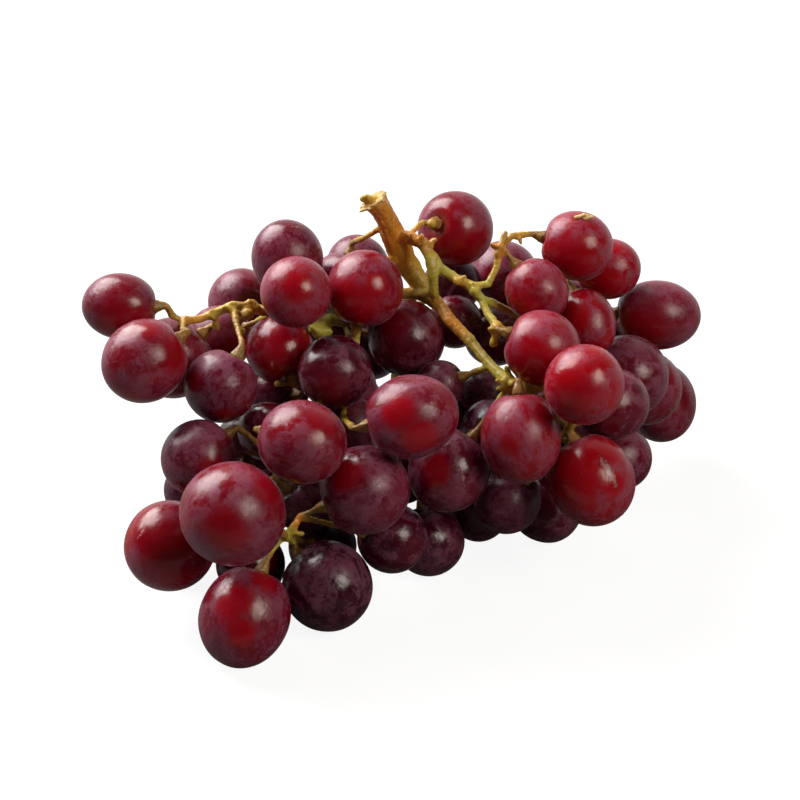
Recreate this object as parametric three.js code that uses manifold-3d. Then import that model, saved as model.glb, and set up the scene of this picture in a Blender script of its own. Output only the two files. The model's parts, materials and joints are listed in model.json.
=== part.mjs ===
// A picked bunch of red table grapes lying on its side: one branched stem and the berries that grow on it.
// Millimetres, +Z up. The origin is on the surface that the bunch lies on, under the middle of its box.
import * as THREE from "three";
import { mergeVertices } from "three/addons/utils/BufferGeometryUtils.js";
import Module from "manifold-3d";

// The bunch is described as it is seen from the front: how far across, up and behind each thing is.
const viewHeightAngle = 30; // degrees that the line of sight comes down by
const viewDistance = 500; // from the eye to the middle of the bunch
const middleHeight = 45; // of the middle of the bunch above the surface that it lies on

const berrySides = 10;
const berryRings = 5;
const dimpleDepth = 2.1; // where the stem goes in
const flatDepth = 0.4; // how far a berry that carries the bunch is pressed flat
const berryGap = 0.7; // between a berry and its neighbour
const pressedBy = 1.2; // how far the berries of one cluster are pressed into each other
const innerBerry = { least: 16, most: 20 }; // across, for the berries that are hidden from the front

const stalkSides = 8;
const twigSides = 6;
const pedicelSides = 5;
const innerPedicelSides = 4;
const pedicelStep = 9;
const blockedCost = 12; // how much way round a pedicel takes to pass a berry
const twigGap = 0.35; // between the stem and a berry
const pedicelRadius = 0.85;
const pedicelLead = 3.5; // how far above the berry a pedicel turns onto the berry's axis
const collarRadius = 2.1; // the wart that a berry sits on
const collarNeck = 1.7;
const collarLength = 2.2;
const clearWindow = { across: 15.5, up: 10.4, radius: 3.4 }; // one looks right through the bunch here
const backRow = { from: [-35, 12], to: [52, 35], bow: 4, count: 6, width: 20.6 };
const heart = { across: -2, up: -8, halfWidth: 40, halfHeight: 30 }; // berries fill all of this oval
const clusterSize = 3; // berries in a cluster that has room for them
const innerStretch = 1.03; // length of a hidden berry over its width

// Each berry: across, up, behind, length along its stem, width, and, where it matters, the way its
// stem end points: degrees round from the right, and degrees away from the viewer.
const shownBerries = {
  left_tip_1: [-70, 23.5, 2, 19, 16.5, 0, 0],
  left_tip_2: [-63.8, 9.8, -14, 22, 20.7, 34, 10],
  left_tip_3: [-57, 10.5, 5, 20.5, 20.5, 39, 0],
  left_tip_4: [-44.8, 3.5, -10, 18.5, 18.5, 62, 0],
  left_tip_5: [-45, 15.5, 17, 17, 16.4],
  left_tip_6: [-39.5, 24.5, 30, 17, 17],
  left_top_1: [-28.2, 35.5, 17, 19.5, 18, -80, 30],
  left_top_2: [-26, 27, -4, 18.5, 18],
  left_top_3: [-8.8, 27.8, 4, 19.5, 19.5, -103, 10],
  left_top_4: [-30, 12.5, 6, 18, 17],
  stalk_1: [-10.5, 33.5, 38, 16.5, 15.5],
  stalk_2: [-13.8, 28.8, 22, 17, 17, 80, -10],
  middle_1: [-16.2, 7, -8, 18.5, 18.5],
  middle_2: [1.5, 15.5, 16, 19.7, 19],
  middle_3: [2.8, -4.2, -23, 24, 21, 192, 0],
  middle_4: [-24.5, -10.5, -29, 23, 21, 165, 25],
  middle_5: [-8.8, -22.5, -19, 23, 22.5],
  middle_6: [12.2, -17.5, -9, 21.5, 20.5],
  front_1: [-50, -14.5, -14, 19.5, 19.5, 40, 10],
  front_2: [-41.8, -28.5, -34, 27, 26, -25, 30],
  front_3: [-57.5, -36.5, -12, 23, 22.8],
  front_4: [-38.8, -54.2, -28, 26, 22.6, 70, 10],
  front_5: [-18.2, -46.5, -13, 23, 22.6, 132, 10],
  low_1: [-2, -34.6, -4, 17.6, 17.6],
  low_2: [7.2, -35.2, 10, 17.8, 17.8],
  low_3: [19.6, -27.6, 26, 15.4, 15.4],
  low_4: [36.2, -26.2, 26, 20, 18, 120, 40],
  low_5: [26.8, -25, 8, 17, 17],
  right_1: [30.2, -9.2, -14, 23.5, 20.2, 92, 0],
  right_2: [47.8, -20, -8, 23.5, 21.7, 113, 5],
  right_3: [46, 3.8, -22, 21.7, 20],
  right_4: [35.5, 13, -8, 19.5, 19, 157, 0],
  right_5: [34.2, 27.2, 4, 17, 15.6, 128, 5],
  right_6: [44.2, 38.5, 12, 18.5, 17.5, 165, 0],
  right_7: [52, 32.8, 27, 16.5, 15.2, 175, 20],
  right_8: [64.2, 21.2, 34, 21.7, 17.5, 178, 0],
  right_9: [46.5, 19.5, 13, 18, 14.6, 110, 20],
  right_10: [53, -1.2, -3, 19.5, 18],
  right_11: [57, 6.2, 16, 21, 20],
  right_12: [61.2, 3, 36, 19, 18.5],
  right_13: [65, -0.5, 56, 20.5, 18, 100, 20],
  right_14: [54.5, -14.5, 10, 17, 16.6],
  back_1: [13.8, 42.8, 28, 19, 19, 172, -56],
  back_2: [25.8, 31, 40, 18, 17.5],
};
// The dark inner berries that show between the others. Those of one cluster are pressed together.
const innerBerries = {
  cluster_1: [[13, 28.8, 34, 15, 14.4]],
  cluster_2: [[13.8, 19.5, 24, 14, 13.4]],
  cluster_3: [[21.2, 2, 22, 13.6, 13]],
  cluster_4: [[10, 3.8, 6, 12.8, 12.4]],
  cluster_5: [[-23.8, -26.2, 0, 15, 14.4], [-19.4, -36.6, 8, 17.4, 17]],
  cluster_6: [[-31.2, 1.2, 14, 17, 16.6], [-33, -8, 2, 16, 15], [-38.6, -11.2, 13, 16, 15.6]],
  cluster_7: [[23.8, 16.2, 30, 16, 15.6]],
  cluster_8: [[36.2, -2.5, 4, 16, 15.6]],
  cluster_9: [[-12.5, -7.5, 3, 17, 16.6]],
  cluster_10: [[-37.4, -41, -2, 17.8, 17.4]],
  cluster_11: [[52, 16, 34, 15, 14.6]],
  cluster_12: [[-18.4, 19.4, 25, 15.6, 15.2], [-7.4, 12.6, 30, 15.6, 15.2]],
  cluster_13: [[-51.8, -22.5, 16, 15, 14.6]],
  cluster_14: [[23, -7.5, 2, 16, 15.6]],
};
const restingBerries = ["front_4", "front_5", "low_2", "low_4", "cluster_10"];

const wasm = await Module();
wasm.setup();

const V = (x, y, z) => new THREE.Vector3(x, y, z);
const degrees = THREE.MathUtils.degToRad;

// The line of sight and the picture's own right and up.
const sight = V(0, Math.cos(degrees(viewHeightAngle)), -Math.sin(degrees(viewHeightAngle)));
const right = V(1, 0, 0);
const up = V(0, Math.sin(degrees(viewHeightAngle)), Math.cos(degrees(viewHeightAngle)));

// A point that is seen at this place in the picture, so much nearer or farther than the middle.
function seenAt(across, upward, behind) {
  const spread = (viewDistance + behind) / viewDistance;
  return V(0, 0, middleHeight)
    .addScaledVector(right, across * spread)
    .addScaledVector(up, upward * spread)
    .addScaledVector(sight, behind);
}

function directionOf(turn, back) {
  const flat = Math.cos(degrees(back));
  return V(0, 0, 0)
    .addScaledVector(right, flat * Math.cos(degrees(turn)))
    .addScaledVector(up, flat * Math.sin(degrees(turn)))
    .addScaledVector(sight, Math.sin(degrees(back)));
}

// Half of a berry's thickness along a direction, measured between two flat plates.
function reach(berry, direction) {
  const c = berry.axis ? direction.dot(berry.axis) : 1;
  return Math.hypot((berry.length / 2) * c, (berry.width / 2) * Math.sqrt(Math.max(0, 1 - c * c)));
}

// How far two berries would have to part to leave a gap between them. Negative is room to spare.
function crowding(a, b, gap) {
  const between = b.centre.clone().sub(a.centre);
  const distance = between.length();
  between.divideScalar(distance || 1);
  return reach(a, between) + reach(b, between) + gap - distance;
}

function lowest(berry) {
  return berry.centre.z - reach(berry, V(0, 0, 1));
}

function place(berry) {
  const spread = (viewDistance + berry.behind) / viewDistance;
  berry.centre = seenAt(berry.across, berry.up, berry.behind);
  berry.length = berry.seenLength * spread;
  berry.width = berry.seenWidth * spread;
}

function berryFrom(name, row, cluster) {
  const [across, upward, behind, seenLength, seenWidth, turn, back] = row;
  const axis = turn === undefined ? null : directionOf(turn, back);
  const berry = { name, cluster, across, up: upward, behind, seenLength, seenWidth, axis };
  berry.rests = restingBerries.includes(name);
  place(berry);
  return berry;
}

// Moves the berries along the line of sight until none is in another or below the surface. The
// picture stays as it is, and what was in front stays in front.
const settlingRounds = 900;
const settlingStep = 0.6; // share of the way that is made in one round
function settle(berries) {
  for (let round = 0; round < settlingRounds; round++) {
    for (const berry of berries) {
      const sinking = (berry.rests ? -flatDepth : berryGap / 2) - lowest(berry);
      if (sinking > 0 || berry.rests) berry.behind -= sinking / Math.sin(degrees(viewHeightAngle));
      place(berry);
    }
    for (let i = 0; i < berries.length; i++)
      for (let j = i + 1; j < berries.length; j++) {
        const [a, b] = [berries[i], berries[j]];
        const gap = a.cluster && a.cluster === b.cluster ? -pressedBy : berryGap;
        if (crowding(a, b, gap) <= 0) continue;
        const apart = b.centre.clone().sub(a.centre);
        const deep = apart.dot(sight);
        const flat = Math.sqrt(Math.max(0, apart.lengthSq() - deep * deep));
        const room = apart.length() + crowding(a, b, gap);
        const needed = Math.sqrt(Math.max(0, room * room - flat * flat)) - Math.abs(deep);
        const share = a.rests === b.rests ? 0.5 : a.rests ? 0 : 1;
        const way = deep >= 0 ? 1 : -1;
        a.behind -= way * needed * share * settlingStep;
        b.behind += way * needed * (1 - share) * settlingStep;
        place(a);
        place(b);
      }
  }
}

// The branches of the stem as seen from the front: across, up, behind, and half the thickness. Each
// starts on another one. The stalk is the thick end that was cut from the vine.
const branches = {
  stalk: [[-6.6, 50.2, -1, 3.3], [-5.2, 48.4, 0, 2.7], [-3.6, 45, 3, 2.7], [-2, 41, 7, 3.2],
    [-0.8, 37, 11, 3.4], [0.7, 33.5, 14, 3.2], [3, 30, 15, 2.8], [6, 25.4, 15, 2.3],
    [9.4, 21.8, 13, 1.6]],
  spine: [[9.4, 21.8, 12, 1.6], [12, 19.8, 10, 1.7], [15, 17.5, 8, 1.55], [20, 12, 3, 1.45],
    [25, 7, -4, 1.5], [28, 4.4, -8, 2.3], [32, 3, -9, 1.8]],
  spine_end: [[32, 3, -9, 1.2], [36, -0.5, -7, 1], [39.5, -3.8, -8, 0.9], [42, -7, -10, 0.9]],
  left: [[6.2, 25, 10, 1.6], [0, 24, 14, 1.5], [-8, 19, 10, 1.4], [-13, 16.5, 5, 1.4],
    [-18.8, 18, 3, 1.75], [-22, 18.2, 5, 1.5], [-28, 19, 10, 1.3], [-35, 20.2, 4, 1.25],
    [-38, 21.5, 2, 1.25], [-41.2, 22.3, 1, 1.5], [-44, 21.6, 1, 1.2], [-50, 19.6, 0, 1.15],
    [-54.2, 19.5, -2, 1.2]],
  left_spur: [[-34.5, 20.4, 4, 1], [-35.8, 22.6, 4, 1.3], [-37, 24, 4, 1.1]],
  right_start: [[0, 39.6, 2, 1.8], [4.6, 39.8, 3, 1.6], [6.8, 38.2, 3, 1.6], [9, 34, 3, 1.3],
    [12.5, 31.2, 3, 1.25], [15.5, 29.7, 2, 1.35], [18.8, 27.4, 1, 1.2], [20.2, 25.4, 1, 1.3]],
  right_end: [[20.2, 25.4, 1, 1.2], [25, 23, 5, 1.1], [30, 20.4, 10, 1.05], [38, 17, 17, 1],
    [46, 12, 24, 0.95], [54, 9, 30, 0.9], [60, 6, 44, 0.9]],
  right_up: [[18.8, 27.4, 1, 1.2], [22, 28.8, 2, 1.05], [23.8, 32, 2, 1], [24.6, 35.5, 2, 1.05],
    [25, 38, 2, 1.25]],
  right_up_spur: [[25, 38, 2, 0.9], [22.7, 38.6, 2, 0.7]],
  right_down: [[20.2, 25.4, 1, 1.1], [22.5, 20.5, -2, 1.05], [24.2, 18.4, -4, 1.25]],
  right_down_spur: [[24.2, 18.4, -4, 0.8], [23.3, 13.8, -3, 0.95]],
  paddle: [[6.6, 37.8, 3, 1.2], [8, 34, 2, 1.3], [8.3, 29, 4, 1.3], [8.6, 24.8, 9, 1.1]],
  front: [[-8, 19, 10, 1.3], [-12, 8, 4, 1.2], [-21, -3, -5, 1.1], [-25, -11, -8, 1.1],
    [-31, -19, -8, 1.1], [-33, -27, -12, 1.1], [-30.8, -33, -16, 1.2], [-28.8, -34.2, -16, 1.3]],
  front_spur: [[-28.8, -34.2, -16, 0.9], [-27, -32.4, -17, 0.75], [-25.2, -29.2, -17, 0.65]],
  front_left: [[-31, -19, -8, 1], [-38, -22, -6, 0.95], [-44, -27, -4, 0.9]],
  back: [[3.4, 30, 7, 1.4], [2, 24, 24, 1.3], [0, 12, 30, 1.2], [-2, 0, 28, 1.1], [2, -12, 20, 1]],
  back_right: [[28, 4.4, -8, 1.4], [28.5, 3, 2, 1.2], [29, 4, 12, 1.1], [31, 0, 22, 1],
    [34, -8, 24, 0.95]],
  inner_spur: [[-18.8, 18, 3, 0.9], [-21, 8, 3, 0.8], [-27.5, 4.6, 0, 0.7], [-31.2, 4, -1, 0.75]],
};
// Pedicels whose way shows: the branch that they leave, at its nearest point, and what they pass.
const shownPedicels = {
  left_tip_1: [[-54.2, 19.5, -2], [-57.5, 21.4, -3.6]],
  left_tip_2: [[-54.2, 19.5, -2], [-54.4, 17.5, -8]],
  left_tip_3: [[-43.2, 21, 1], [-46.2, 18.4, 2]],
  left_tip_4: [[-41.8, 21.4, 0.6], [-40.6, 18, -4]],
  left_top_3: [[-13, 16.5, 5], [-12.6, 15.6, 3]],
  stalk_2: [[-2.6, 43, 0], [-8.8, 40.6, 8]],
  middle_3: [[-12, 8, 4], [-14.6, -4, -6], [-13, -6.4, -18]],
  front_2: [[-28.8, -34.2, -16]],
  front_4: [[-28.8, -34.2, -16], [-31.6, -36.8, -17]],
  front_5: [[-28.8, -34.2, -16], [-26.6, -35.6, -13]],
  right_1: [[29.4, 4, -9]],
  right_2: [[42, -7, -10]],
  right_4: [[24.2, 18.4, -4]],
  right_5: [[25, 38, 2], [27, 36.8, 2]],
  right_6: [[25, 38, 2], [26, 41.4, 4], [28.8, 40.8, 6]],
  back_1: [[0.4, 42, 1], [4, 43.4, 6]],
};

// Pushes the points of a path out of the berries, and spreads each push along the path. It stays
// where it starts.
const bendingRounds = 200;
const smoothing = 0.1; // pull of each of its two neighbours on a point
function bendClear(points, radii, berries, endIsFree) {
  const last = points.length - 1;
  let bends = points.map(() => V(0, 0, 0));
  for (let round = 0; round < bendingRounds; round++) {
    bends = bends.map((bend, i) => {
      if (i === 0 || i === last) return bend;
      return bend.clone().multiplyScalar(1 - 2 * smoothing).addScaledVector(bends[i - 1], smoothing)
        .addScaledVector(bends[i + 1], smoothing);
    });
    for (let i = 1; i < last + (endIsFree ? 1 : 0); i++) {
      const point = points[i].clone().add(bends[i]);
      for (const berry of berries) {
        const out = point.clone().sub(berry.centre);
        const distance = out.length();
        out.divideScalar(distance || 1);
        const room = reach(berry, out) + radii[i] + twigGap;
        if (distance < room) point.addScaledVector(out, room - distance);
      }
      bends[i] = point.sub(points[i]);
    }
  }
  points.forEach((point, i) => point.add(bends[i]));
}

// A path of evenly spaced points through a few given ones, with the half thickness at each.
const pathStep = 4.5;
function pathThrough(points, radii, step) {
  const curve = new THREE.CatmullRomCurve3(points, false, "centripetal");
  const steps = Math.max(2, Math.round(curve.getLength() / step));
  const along = points.map((p, i) => i / (points.length - 1));
  const path = { points: [], radii: [] };
  for (let k = 0; k <= steps; k++) {
    const t = curve.getUtoTmapping(k / steps);
    path.points.push(curve.getPoint(t));
    const i = Math.min(points.length - 2, Math.floor(t * (points.length - 1)));
    const f = (t - along[i]) * (points.length - 1);
    path.radii.push(radii[i] * (1 - f) + radii[i + 1] * f);
  }
  return path;
}

// The middle of the stem at its nearest to a point.
function nearestOnStem(point) {
  let best = null;
  for (const { points } of skeleton)
    for (const p of points) if (!best || p.distanceTo(point) < best.distanceTo(point)) best = p;
  return best;
}

const shown = Object.entries(shownBerries).map(([name, row]) => berryFrom(name, row));
const clusters = Object.entries(innerBerries).map(([name, rows]) => ({
  name,
  members: rows.map((row, i) => berryFrom(i ? `${name}_${i + 1}` : name, row, name)),
}));
const berries = [...shown, ...clusters.flatMap((cluster) => cluster.members)];
settle(berries);

const skeleton = [];
for (const list of Object.values(branches)) {
  const points = list.map(([a, u, b]) => seenAt(a, u, b));
  if (skeleton.length) points[0] = nearestOnStem(points[0]).clone();
  const path = pathThrough(points, list.map((row) => row[3]), pathStep);
  bendClear(path.points, path.radii, berries, true);
  skeleton.push(path);
}

// A seeded random number from 0 to 1.
let seed = 20;
function draw() {
  seed = (seed * 1664525 + 1013904223) % 4294967296;
  return seed / 4294967296;
}

// Where a point is seen: across, up, and how far behind the middle.
function seenPlace(point) {
  const toMiddle = point.clone().sub(V(0, 0, middleHeight));
  const behind = toMiddle.dot(sight);
  const spread = (viewDistance + behind) / viewDistance;
  return [toMiddle.dot(right) / spread, toMiddle.dot(up) / spread, behind];
}

// Whether something of this radius stands in the window that one looks through.
function isInWindow(point, radius) {
  const [across, upward, behind] = seenPlace(point);
  const seenRadius = (radius * viewDistance) / (viewDistance + behind);
  const distance = Math.hypot(across - clearWindow.across, upward - clearWindow.up);
  return distance < seenRadius + clearWindow.radius;
}

// Whether a berry is behind the ones that show, and off the window.
const rimPoints = 12;
function isHidden(berry) {
  if (isInWindow(berry.centre, berry.width / 2)) return false;
  const [across, upward, behind] = seenPlace(berry.centre);
  const radius = (berry.width / 2) * (viewDistance / (viewDistance + behind));
  for (let k = 0; k < rimPoints; k++) {
    const turn = (2 * Math.PI * k) / rimPoints;
    const [x, y] = [across + radius * Math.cos(turn), upward + radius * Math.sin(turn)];
    const cover = berries.some((b) => Math.hypot(b.across - x, b.up - y) < b.seenWidth / 2
      && b.behind < behind);
    const inHeart = Math.hypot((x - heart.across) / heart.halfWidth, (y - heart.up) / heart.halfHeight);
    if (!cover && inHeart > 1) return false;
  }
  return true;
}

function distanceToStem(point) {
  let least = Infinity;
  for (const path of skeleton)
    path.points.forEach((p, i) => {
      least = Math.min(least, p.distanceTo(point) - path.radii[i]);
    });
  return least;
}

// Each cluster grows by one berry at a time, pressed against one that it has. The new berry takes
// the free place, hidden from the front, that is nearest to the stem.
const tries = 2500;
const stemRoom = 0.75; // between a hidden berry and the stem
function addHidden(cluster) {
  let best = null;
  for (let k = 0; k < tries; k++) {
    const host = cluster.members[Math.floor(draw() * cluster.members.length)];
    const width = innerBerry.least + (innerBerry.most - innerBerry.least) * draw();
    const way = V(draw() * 2 - 1, draw() * 2 - 1, draw() * 2 - 1);
    if (way.lengthSq() > 1) continue;
    way.normalize();
    const berry = { width, length: width * innerStretch, cluster: cluster.name };
    const distance = reach(host, way) + berry.length / 2 - pressedBy;
    berry.centre = host.centre.clone().addScaledVector(way, distance);
    const height = lowest(berry);
    if (height < -flatDepth || (height < berryGap / 2 && !(height < 0))) continue;
    const others = berries.filter((b) => b !== host);
    if (others.some((b) => crowding(berry, b, berryGap) > 0)) continue;
    const reachToStem = distanceToStem(berry.centre) - berry.length / 2;
    if (reachToStem < stemRoom || !isHidden(berry)) continue;
    if (!best || reachToStem < best.reachToStem) best = Object.assign(berry, { reachToStem });
  }
  if (!best) return;
  best.name = `${cluster.name}_${cluster.members.length + 1}`;
  cluster.members.push(best);
  berries.push(best);
}

// A row of berries lies on the surface at the back and carries the bunch there.
function backRowBerries() {
  const { from, to, bow, count, width } = backRow;
  return Array.from({ length: count }, (_, i) => {
    const f = i / (count - 1);
    const [x, y] = [from[0] + (to[0] - from[0]) * f, from[1] + (to[1] - from[1]) * f];
    const centre = V(x, y + bow * Math.sin(Math.PI * f), width / 2 - flatDepth);
    return { name: `back_row_${i + 1}`, width, length: width, cluster: "back_row", centre };
  });
}
const rowMembers = backRowBerries();
berries.push(...rowMembers);
for (let size = 1; size < clusterSize; size++)
  for (const cluster of clusters) if (cluster.members.length <= size) addHidden(cluster);
clusters.push({ name: "back_row", members: rowMembers });

// Unless the list gives it, the stem end of a berry points to a near branch, past its neighbours.
const lookStep = 2; // along the way to the branch
function freeAxis(berry) {
  let best = null;
  for (const { points } of skeleton)
    for (const p of points) {
      const way = p.clone().sub(berry.centre);
      const distance = way.length();
      way.normalize();
      let blocked = 0;
      for (let f = berry.length / 2 + lookStep; f < distance; f += lookStep) {
        const point = berry.centre.clone().addScaledVector(way, f);
        if (isInWindow(point, pedicelRadius)) blocked = Math.max(blocked, pedicelRadius);
        for (const other of berries) {
          if (other === berry) continue;
          const out = point.clone().sub(other.centre);
          const room = reach(other, out.clone().normalize()) + pedicelRadius + twigGap;
          blocked = Math.max(blocked, room - out.length());
        }
      }
      const cost = distance + blockedCost * blocked;
      if (!best || cost < best.cost) best = { cost, way };
    }
  return best.way;
}
const axes = berries.map((berry) => berry.axis ?? freeAxis(berry));
berries.forEach((berry, i) => {
  berry.axis = axes[i];
});

// Where the stem meets a berry, in the middle of its dimple.
const dimpleFloor = 0.85; // gap of the stem above the lowest point of the dimple
function stemEnd(berry) {
  return berry.centre.clone().addScaledVector(berry.axis, berry.length / 2 - dimpleDepth + dimpleFloor);
}

// A pedicel leaves a branch, comes down on the berry along its axis and widens into a wart there.
function pedicelFor(berry) {
  const end = stemEnd(berry);
  const lead = end.clone().addScaledVector(berry.axis, pedicelLead);
  const given = (shownPedicels[berry.name] || []).map(([a, u, b]) => seenAt(a, u, b));
  const root = nearestOnStem(given[0] || lead);
  const points = [root, ...given.slice(1), lead];
  const path = pathThrough(points, points.map(() => pedicelRadius), pedicelStep);
  bendClear(path.points, path.radii, berries.filter((b) => b !== berry), false);
  path.points.push(end.clone().addScaledVector(berry.axis, collarLength / 2), end);
  path.radii.push(collarNeck, collarRadius);
  return path;
}

// A closed tube along a path: a cylinder whose rings are moved onto the path's points.
const leastSide = 0.05; // under this the path runs along the side, and another side is taken
function tube({ points, radii }, sides) {
  const steps = points.length - 1;
  const geometry = new THREE.CylinderGeometry(1, 1, 1, sides, steps, false);
  const position = geometry.getAttribute("position");
  const frames = [];
  let side = V(0, 0, 1);
  points.forEach((point, i) => {
    const way = points[Math.min(i + 1, steps)].clone().sub(points[Math.max(i - 1, 0)]).normalize();
    side = side.clone().addScaledVector(way, -side.dot(way));
    if (side.length() < leastSide) side = V(1, 0, 0).addScaledVector(way, -way.x);
    side.normalize();
    frames.push({ point, side, across: way.clone().cross(side).normalize() });
  });
  for (let v = 0; v < position.count; v++) {
    const i = Math.round((0.5 + position.getY(v)) * steps);
    const { point, side: one, across: other } = frames[i];
    const corner = point.clone().addScaledVector(one, position.getX(v) * radii[i])
      .addScaledVector(other, -position.getZ(v) * radii[i]);
    position.setXYZ(v, corner.x, corner.y, corner.z);
  }
  return geometry;
}

// A geometry as a solid that can be joined and cut. Its corners are shared where faces meet.
const sameCorner = 1e-4;
function solid(geometry) {
  const bare = new THREE.BufferGeometry().setAttribute("position", geometry.getAttribute("position"));
  bare.setIndex(geometry.getIndex());
  const merged = mergeVertices(bare, sameCorner);
  const vertProperties = new Float32Array(merged.getAttribute("position").array);
  const triVerts = new Uint32Array(merged.getIndex().array);
  return new wasm.Manifold(new wasm.Mesh({ numProp: 3, vertProperties, triVerts }));
}

function geometryOf(manifold) {
  const mesh = manifold.getMesh();
  const geometry = new THREE.BufferGeometry();
  geometry.setAttribute("position", new THREE.BufferAttribute(new Float32Array(mesh.vertProperties), 3));
  geometry.setIndex(new THREE.BufferAttribute(new Uint32Array(mesh.triVerts), 1));
  return geometry.toNonIndexed();
}

// A berry is an oval turned about its stem axis, with a shallow dimple at the stem end. Its flat
// faces are set out a little, so that it holds as much as the round one.
const facetSpread = 1.025;
function berryGeometry(length, width, grow = 0) {
  const profile = [new THREE.Vector2(0, -length / 2 - grow)];
  for (let ring = 1; ring <= berryRings; ring++) {
    const turn = (ring / (berryRings + 1)) * Math.PI;
    profile.push(new THREE.Vector2((width / 2 + grow) * facetSpread * Math.sin(turn),
      -(length / 2 + grow) * Math.cos(turn)));
  }
  profile.push(new THREE.Vector2(0, length / 2 - dimpleDepth + grow));
  return new THREE.LatheGeometry(profile, berrySides);
}

function turnOf(berry) {
  return new THREE.Quaternion().setFromUnitVectors(V(0, 1, 0), berry.axis);
}

function placed(geometry, berry) {
  return geometry.applyQuaternion(turnOf(berry)).translate(...berry.centre.toArray());
}

// What lies below the surface is cut off, so that a berry that carries the bunch has a small flat.
const ground = { side: 400, thickness: 20 };
const below = solid(new THREE.BoxGeometry(ground.side, ground.side, ground.thickness)
  .translate(0, 0, -ground.thickness / 2));
function flattened(manifold) {
  return manifold.boundingBox().min[2] < 0 ? manifold.subtract(below) : manifold;
}

const skinTints = [0x6b1420, 0x7d1822, 0x8a1c26, 0x54141f, 0x45121c];
const stemTint = 0x9a8a3c;
let tintTurn = 0;
function skin() {
  const color = skinTints[tintTurn % skinTints.length];
  tintTurn += 1;
  return new THREE.MeshStandardMaterial({ color, roughness: 0.35, metalness: 0 });
}

function berryMesh(name, members) {
  const whole = members
    .map((berry) => solid(placed(berryGeometry(berry.length, berry.width), berry)))
    .reduce((sum, one) => sum.add(one));
  const centre = members[0].centre;
  const geometry = geometryOf(flattened(whole)).translate(-centre.x, -centre.y, -centre.z);
  const mesh = new THREE.Mesh(geometry, skin());
  mesh.name = name;
  mesh.position.copy(centre);
  return mesh;
}

// The stem is one solid: stalk, branches and pedicels run into each other. It is cut back where a
// berry lies against it.
function stemMesh() {
  const parts = skeleton.map((path, i) => tube(path, i ? twigSides : stalkSides));
  for (const berry of berries)
    parts.push(tube(pedicelFor(berry), berry.cluster ? innerPedicelSides : pedicelSides));
  let stem = wasm.Manifold.union(parts.map(solid));
  for (const berry of berries) {
    const geometry = placed(berryGeometry(berry.length, berry.width, twigGap), berry);
    stem = stem.subtract(solid(geometry));
  }
  const pieces = stem.decompose().sort((a, b) => b.volume() - a.volume());
  const mesh = new THREE.Mesh(geometryOf(pieces[0]),
    new THREE.MeshStandardMaterial({ color: stemTint, roughness: 0.7, metalness: 0 }));
  mesh.name = "stem";
  return mesh;
}

const bunch = new THREE.Group();
bunch.add(stemMesh());
for (const berry of shown) bunch.add(berryMesh(berry.name, [berry]));
for (const cluster of clusters) bunch.add(berryMesh(cluster.name, cluster.members));

// The origin goes to the surface, under the middle of the box.
const box = new THREE.Box3().setFromObject(bunch);
bunch.position.set(-(box.min.x + box.max.x) / 2, -(box.min.y + box.max.y) / 2, -box.min.z);

const grapes = new THREE.Group();
grapes.add(bunch);
export default grapes;
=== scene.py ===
import json
import math

import bmesh
import bpy
import numpy as np
from mathutils import Matrix, Vector


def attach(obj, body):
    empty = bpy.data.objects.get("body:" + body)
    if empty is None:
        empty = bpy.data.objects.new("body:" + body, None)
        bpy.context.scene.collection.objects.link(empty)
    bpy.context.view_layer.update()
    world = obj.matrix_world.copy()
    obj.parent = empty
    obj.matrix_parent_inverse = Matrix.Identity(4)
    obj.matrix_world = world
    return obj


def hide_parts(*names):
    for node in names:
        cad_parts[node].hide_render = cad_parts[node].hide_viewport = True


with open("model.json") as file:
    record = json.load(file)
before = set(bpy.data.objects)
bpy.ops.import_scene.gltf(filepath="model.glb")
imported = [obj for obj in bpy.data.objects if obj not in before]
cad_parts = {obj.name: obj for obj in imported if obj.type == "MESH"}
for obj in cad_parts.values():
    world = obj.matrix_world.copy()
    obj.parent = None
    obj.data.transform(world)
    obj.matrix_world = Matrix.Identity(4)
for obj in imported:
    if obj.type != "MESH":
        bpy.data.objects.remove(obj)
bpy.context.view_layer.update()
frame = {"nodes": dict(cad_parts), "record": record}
scene = bpy.context.scene

# The eye and the lamps. The eye looks down by 30 degrees from half a metre away. A wide soft lamp
# hangs behind on the left and a weaker one stands in front on the right, where the two highlights
# of each berry are.
BUNCH_MIDDLE = Vector((-0.0017645, -0.0058953, 0.045))
LOOKS_DOWN = math.radians(30)
EYE_DISTANCE = 0.5
SEEN_WIDTH = 0.2  # how wide the picture is at the bunch's middle
FILM_WIDTH = 36
NEAREST_SEEN = 0.01
SIGHT = Vector((0, math.cos(LOOKS_DOWN), -math.sin(LOOKS_DOWN)))
SEEN_UP = Vector((0, math.sin(LOOKS_DOWN), math.cos(LOOKS_DOWN)))
SEEN_RIGHT = Vector((1, 0, 0))
EYE = BUNCH_MIDDLE - SIGHT * EYE_DISTANCE
LAMPS = {  # the way to it from the bunch, its distance, its size, watts and tint
    "soft_lamp": ((-0.57, 0.47, 0.67), 0.9, 0.72, 18.8, (1, 0.97, 0.96)),
    "front_lamp": ((0.61, -0.5, 0.59), 0.9, 0.4, 4.7, (1, 0.91, 0.8)),
}

camera = bpy.data.objects.new("eye", bpy.data.cameras.new("eye"))
camera.data.sensor_width = FILM_WIDTH
camera.data.lens = FILM_WIDTH * EYE_DISTANCE / SEEN_WIDTH
camera.data.clip_start = NEAREST_SEEN
camera.location = EYE
camera.rotation_euler = SIGHT.to_track_quat("-Z", "Y").to_euler()
scene.collection.objects.link(camera)
scene.camera = camera
scene.view_settings.view_transform = "Standard"

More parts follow.
